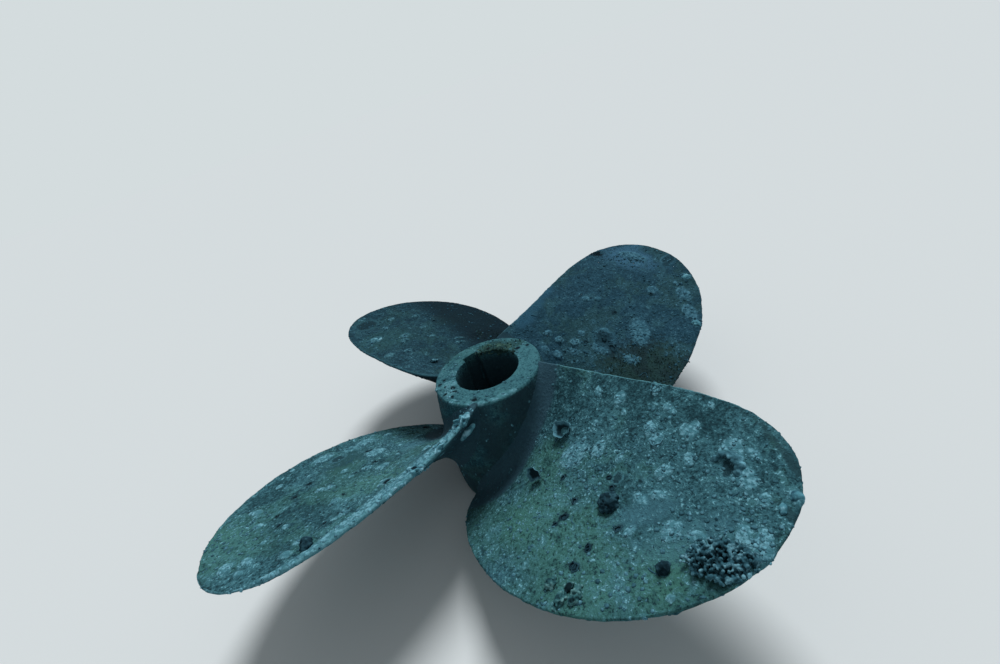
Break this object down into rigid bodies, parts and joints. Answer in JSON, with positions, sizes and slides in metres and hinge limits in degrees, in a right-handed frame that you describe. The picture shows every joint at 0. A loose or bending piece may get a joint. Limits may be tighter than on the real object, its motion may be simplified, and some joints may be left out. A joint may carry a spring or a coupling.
{
  "type": "fixed-pitch ship propeller",
  "caption": "Right-handed cast ship propeller with broad swept blades and a tapered, keyed shaft bore, long under the sea.",
  "frame": {"origin": "centre of the boss's forward end face, on the shaft axis", "axes": "+Z along the shaft axis toward the aft end; +X along the reference line of blade_1"},
  "size_m": [2.1472, 2.1472, 0.5198],
  "materials": {
    "boss": "cast bronze under thin pale grey-green marine crust",
    "blades": "cast bronze under dark teal-grey marine crust with pale specks"
  },
  "bodies": {
    "root": {"boss": "boss", "blade_1": "blades", "blade_2": "blades", "blade_3": "blades", "blade_4": "blades"}
  },
  "joints": []
}
